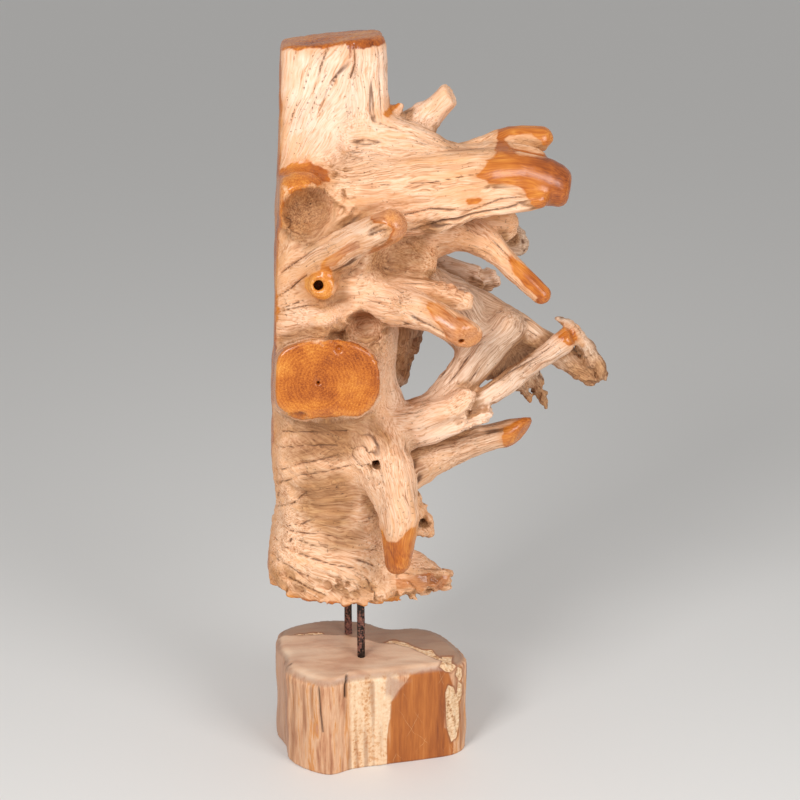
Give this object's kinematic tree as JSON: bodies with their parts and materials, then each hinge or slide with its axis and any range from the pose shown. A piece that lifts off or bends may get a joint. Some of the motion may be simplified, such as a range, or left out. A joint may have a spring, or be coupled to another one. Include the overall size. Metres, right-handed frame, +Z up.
{
  "type": "teak root sculpture",
  "caption": "Free-standing teak root carving, sawn flat on one side, with cut and rounded limbs, held upright by two steel rods on a teak block.",
  "frame": {"origin": "on the floor, under the middle of the stand block", "axes": "+Z up along the sculpture's height, +X from the flat sawn side towards the limbs' tips, -Y the side with the large round cut"},
  "size_m": [0.6929, 0.5579, 1.4885],
  "materials": {
    "root_teak": "raw teak root, brushed and sanded, with oiled and polished cuts",
    "rod_steel": "bare steel rod, dark and slightly rusted",
    "block_teak": "weathered teak slice, worn smooth on top, streaked bark side"
  },
  "bodies": {
    "root": {"teak_root": "root_teak", "front_rod": "rod_steel", "rear_rod": "rod_steel", "stand_block": "block_teak"}
  },
  "joints": []
}
